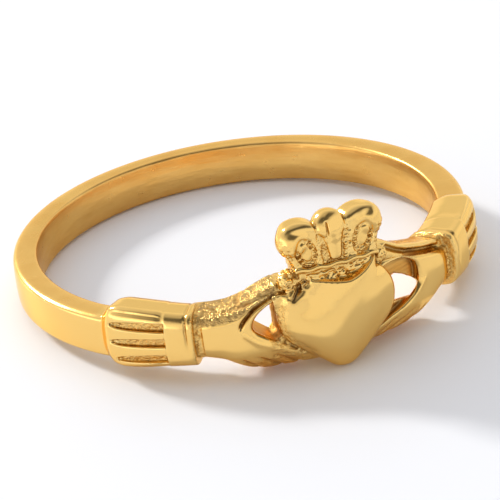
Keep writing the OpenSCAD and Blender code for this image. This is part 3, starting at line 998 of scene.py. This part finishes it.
def at_rest(points):
    """Places on the upright ring, where they are as the ring lies."""
    x, y, z = tipped(*points.T)
    return np.stack([x, y + REST_SHIFT, z + REST_LIFT], 1)


def write_shares(mesh, points):
    """Attributes for the material: four shares, and the place on the upright ring."""
    out = gradient(ring_field, points)
    out /= np.maximum(np.linalg.norm(out, axis=1), TINY)[:, None]
    shares = {
        # The first share is painted shade with dark residue in the hollows, creases and grooves
        "soil_and_shade": soil_and_shade_share(hollow_share(ring_field, points, out, HOLLOW_REACH), *points.T),
        "edge": edge_share(ring_field, points, out, EDGE_REACH),
        "cast": cast_roughness(*points.T),
        # The bore share is a warmer painted shade, and in the material a brushed finish as well
        "bore": warm_shade_share(out[:, 2], *points.T),
    }
    for name, values in shares.items():
        share = mesh.attributes.new(name, "FLOAT", "POINT")
        share.data.foreach_set("value", values.astype(np.float32))
    place = mesh.attributes.new("place", "FLOAT_VECTOR", "POINT")
    place.data.foreach_set("vector", upright(points).astype(np.float32).ravel())


def ring_object():
    points, quads = surface_net(
        ring_field, graded_round(), graded(R_STRETCHES), graded(Z_STRETCHES), ROUND)
    points = settle(ring_field, points)
    mesh = bpy.data.meshes.new("ring_metal")
    mesh.from_pydata((at_rest(upright(points)) * MM).tolist(), [], quads.tolist())
    mesh.validate()
    mesh.polygons.foreach_set("use_smooth", [True] * len(mesh.polygons))
    mesh.update()
    write_shares(mesh, points)
    ring = bpy.data.objects.new("ring_metal", mesh)
    bpy.context.scene.collection.objects.link(ring)
    return ring


# Material

GOLD = (0.92, 0.58, 0.17, 1)
# Warmer, darker painted shade for the bore, the gaps' walls and the band's upper side
GOLD_WARM_SHADE = (0.66, 0.30, 0.045, 1)
# Painted shade with dark residue, for the hollows, creases and grooves
GOLD_SOIL_AND_SHADE = (0.12, 0.04, 0.01, 1)
GOLD_PALE = (0.96, 0.68, 0.26, 1)
GLANCING = (1.0, 0.88, 0.64, 1)
# Roughness of the clean polish, and what smudges, casting and brushing add to it
POLISHED, SMUDGED, CAST_DULL, BRUSHED_DULL = 0.09, 0.10, 0.07, 0.15
RELIEF = 0.045 * MM


class Tree:
    """Shorthand for building a node tree."""

    def __init__(self, tree):
        self.nodes, self.links = tree.nodes, tree.links

    def node(self, kind, settings=(), **inputs):
        node = self.nodes.new("ShaderNode" + kind)
        for name, value in dict(settings).items():
            setattr(node, name, value)
        for name, value in inputs.items():
            self.put(node, name, value)
        return node

    def put(self, node, socket, value):
        target = node.inputs[int(socket)] if socket.isdigit() else node.inputs[socket]
        if isinstance(value, bpy.types.NodeSocket):
            self.links.new(value, target)
        else:
            target.default_value = value

    def math(self, operation, a, b=0.0, clamp=False):
        node = self.node("Math", {"operation": operation, "use_clamp": clamp})
        self.put(node, "0", a)
        self.put(node, "1", b)
        return node.outputs[0]

    def layer(self, name, output="Fac"):
        return self.node("Attribute", {"attribute_name": name}).outputs[output]

    def noise(self, vector, scale, detail=2.0, rough=0.5):
        node = self.node("TexNoise", {}, Vector=vector, Scale=scale, Detail=detail, Roughness=rough)
        return node.outputs["Fac"]

    def stretched(self, vector, scale):
        node = self.node("VectorMath", {"operation": "MULTIPLY"})
        self.put(node, "0", vector)
        self.put(node, "1", scale)
        return node.outputs[0]

    def mix(self, factor, a, b):
        node = self.node("Mix", {"data_type": "RGBA"})
        self.put(node, "0", factor)
        self.put(node, "6", a)
        self.put(node, "7", b)
        return node.outputs[2]


def gold_colour(t, place, soil_and_shade, edge, bore):
    """Painted shade with dark residue in the hollows, a warmer painted shade in the bore, paler
    where edges are worn, a little uneven.
    """
    mottle = t.noise(t.stretched(place, (0.45, 0.45, 1.6)), 1.0, 3.0, 0.6)
    # Warmer painted shade, mottled, in the bore, on the gaps' walls and on the band's upper side
    base = t.mix(t.math("MULTIPLY", bore, t.math("MULTIPLY", mottle, 1.1, True)), GOLD, GOLD_WARM_SHADE)
    # Painted shade with dark residue in the hollows, creases and grooves
    base = t.mix(soil_and_shade, base, GOLD_SOIL_AND_SHADE)
    drift = t.math("MULTIPLY", t.noise(place, 0.9, 3.0), 0.35)
    return t.mix(t.math("ADD", drift, t.math("MULTIPLY", edge, 0.6), True), base, GOLD_PALE)


def gold_gloss(t, place, cast, bore):
    """Roughness: mirror-like on the polished faces, satin inside, dull on the casting."""
    smudge = t.math("MULTIPLY", t.noise(place, 1.6, 4.0, 0.6), SMUDGED)
    gloss = t.math("ADD", t.math("ADD", smudge, POLISHED), t.math("MULTIPLY", cast, CAST_DULL))
    return t.math("ADD", gloss, t.math("MULTIPLY", bore, BRUSHED_DULL), True)


def gold_relief(t, place, cast, bore):
    """Relief finer than the mesh: casting grain, polishing waves, pits, brushing in the bore."""
    grain = t.math("MULTIPLY", t.noise(place, 7.0, 4.0, 0.6), t.math("MULTIPLY", cast, 1.8))
    orange_peel = t.math("MULTIPLY", t.noise(place, 3.2, 2.0), 0.05)
    pits = t.node("TexVoronoi", {}, Vector=place, Scale=4.5).outputs["Distance"]
    pits = t.math("MULTIPLY", t.math("SUBTRACT", 0.08, pits, True), -1.0)
    brush = t.noise(t.stretched(place, (0.6, 0.6, 5.0)), 1.0, 3.0)
    brush = t.math("MULTIPLY", brush, t.math("MULTIPLY", bore, 0.45))
    height = t.math("ADD", t.math("ADD", grain, orange_peel), t.math("ADD", pits, brush))
    return t.node("Bump", {}, Strength=1.0, Distance=RELIEF, Height=height).outputs["Normal"]


def new_material(name):
    """A material, its node tree and its shader."""
    mat = bpy.data.materials.new(name)
    mat.use_nodes = True
    t = Tree(mat.node_tree)
    return mat, t, t.nodes["Principled BSDF"]


def gold_material():
    mat, t, shader = new_material("gold_polished")
    place = t.layer("place", "Vector")
    soil_and_shade, edge, cast, bore = [t.layer(name) for name in ("soil_and_shade", "edge", "cast", "bore")]
    t.put(shader, "Base Color", gold_colour(t, place, soil_and_shade, edge, bore))
    t.put(shader, "Metallic", 1.0)
    t.put(shader, "Specular Tint", GLANCING)
    t.put(shader, "Roughness", gold_gloss(t, place, cast, bore))
    t.put(shader, "Normal", gold_relief(t, place, cast, bore))
    return mat


ring = ring_object()
ring.data.materials.append(gold_material())
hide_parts("ring")
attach(ring, "root")

# Floor

FLOOR_SIZE = 2.0
FLOOR_WHITE, FLOOR_ROUGHNESS = (0.86, 0.87, 0.90, 1), 0.6


def floor_material():
    mat, t, shader = new_material("floor_white")
    t.put(shader, "Base Color", FLOOR_WHITE)
    t.put(shader, "Roughness", FLOOR_ROUGHNESS)
    return mat


bpy.ops.mesh.primitive_plane_add(size=FLOOR_SIZE, location=(0, 0, 0))
floor = bpy.context.active_object
floor.name = "floor"
floor.data.materials.append(floor_material())

# Camera

# Fitted to the inner and outer ellipses of the band in the photo. The angles are
# about the upright ring, and the scale is in pixels for a millimetre at its middle.
VIEW_AZ, VIEW_EL, VIEW_ROLL = math.radians(-20.5), math.radians(23.886), math.radians(-7.997)
VIEW_DISTANCE = 140.0
VIEW_SCALE = 22.9685
IMAGE_PX = 500.0
CENTRE_PX = (238.73, 241.42)
SENSOR = 36.0
CLIP_NEAR, CLIP_FAR = 0.005, 10


def photo_camera():
    back = Vector((math.sin(VIEW_AZ) * math.cos(VIEW_EL),
                   -math.cos(VIEW_AZ) * math.cos(VIEW_EL),
                   math.sin(VIEW_EL)))
    right = Vector((0, 0, 1)).cross(back).normalized()
    up = back.cross(right)
    right, up = (right * math.cos(VIEW_ROLL) + up * math.sin(VIEW_ROLL),
                 up * math.cos(VIEW_ROLL) - right * math.sin(VIEW_ROLL))
    right, up, back = [Vector(tipped(*v)) for v in (right, up, back)]
    data = bpy.data.cameras.new("camera")
    camera = bpy.data.objects.new("camera", data)
    bpy.context.scene.collection.objects.link(camera)
    camera.matrix_world = Matrix((right, up, back)).transposed().to_4x4()
    camera.location = RING_CENTRE + back * VIEW_DISTANCE * MM
    data.sensor_width = SENSOR
    data.lens = VIEW_SCALE * VIEW_DISTANCE / IMAGE_PX * SENSOR
    data.shift_x = (IMAGE_PX / 2 - CENTRE_PX[0]) / IMAGE_PX
    data.shift_y = (CENTRE_PX[1] - IMAGE_PX / 2) / IMAGE_PX
    data.clip_start = CLIP_NEAR
    data.clip_end = CLIP_FAR
    return camera


bpy.context.scene.camera = photo_camera()

# Light

# Each lamp: its direction, distance, size, power, colour, and whether the gold mirrors it
LAMPS = {
    "key_light": ((-0.80, 1.58, 1.0), 0.50, 0.08, 1.9, (1.0, 0.99, 0.97), True),
    "fill_light": ((0, -0.2, 1), 0.60, 0.9, 1.05, (0.98, 0.98, 1.0), False),
}
# Brightness of the surroundings against the height looked at, 0 level and 1 overhead
FRONT_SKY = [
    (0.0, 1.00), (0.32, 1.02), (0.46, 0.70), (0.56, 0.16), (0.84, 0.10), (0.94, 0.40), (1.0, 0.60)]
BACK_SKY = [
    (0.0, 1.10), (0.20, 1.05), (0.34, 0.85), (0.50, 0.85), (0.66, 1.00), (0.84, 0.85), (1.0, 0.60)]
SKY_BLUE = 1.02
# The window: where it begins on the left, how sharply, how fast it fades upwards, its light
WINDOW_LEFT, WINDOW_EDGE, WINDOW_FALL, WINDOW_LIGHT = 0.80, 9.0, 3.0, 1.4


def soft_box(name, towards, distance, size, power, colour, mirrored):
    """Square area light in a direction from the ring."""
    data = bpy.data.lights.new(name, "AREA")
    data.shape = "RECTANGLE"
    data.size, data.size_y = size, size
    data.energy = power
    data.color = colour
    lamp = bpy.data.objects.new(name, data)
    bpy.context.scene.collection.objects.link(lamp)
    direction = Vector(towards).normalized()
    lamp.location = RING_CENTRE + direction * distance
    lamp.rotation_euler = direction.to_track_quat("Z", "Y").to_euler()
    lamp.visible_glossy = mirrored


def sky_ramp(t, height, stops):
    ramp = t.node("ValToRGB", {}, Fac=height)
    elements = ramp.color_ramp.elements
    elements[0].position, elements[1].position = stops[0][0], stops[-1][0]
    for place, _ in stops[1:-1]:
        elements.new(place)
    for element, (_, level) in zip(elements, stops):
        element.color = (level, level, level * SKY_BLUE, 1)
    return ramp.outputs["Color"]


def studio_world():
    """Pale, with a dark band high up in front and a bright window low on the left."""
    world = bpy.data.worlds.new("studio")
    world.use_nodes = True
    t = Tree(world.node_tree)
    shade = t.nodes["Background"]
    look = t.node("TexCoord").outputs["Generated"]
    split = t.node("SeparateXYZ", {}, Vector=look)
    front = sky_ramp(t, split.outputs["Z"], FRONT_SKY)
    back = sky_ramp(t, split.outputs["Z"], BACK_SKY)
    behind = t.math("ADD", t.math("MULTIPLY", split.outputs["Y"], 1.5), 0.5, True)
    t.put(shade, "Color", t.mix(behind, front, back))
    left = t.math("SUBTRACT", t.math("MULTIPLY", split.outputs["X"], -1.0), WINDOW_LEFT)
    left = t.math("MULTIPLY", left, WINDOW_EDGE, True)
    high = t.math("MULTIPLY", t.math("ABSOLUTE", split.outputs["Z"]), WINDOW_FALL)
    window = t.math("MULTIPLY", left, t.math("SUBTRACT", 1.0, high, True))
    t.put(shade, "Strength", t.math("ADD", t.math("MULTIPLY", window, WINDOW_LIGHT), 1.0))
    return world


for name, settings in LAMPS.items():
    soft_box(name, *settings)
bpy.context.scene.world = studio_world()
bpy.context.scene.view_settings.view_transform = "Standard"

bpy.context.view_layer.update()
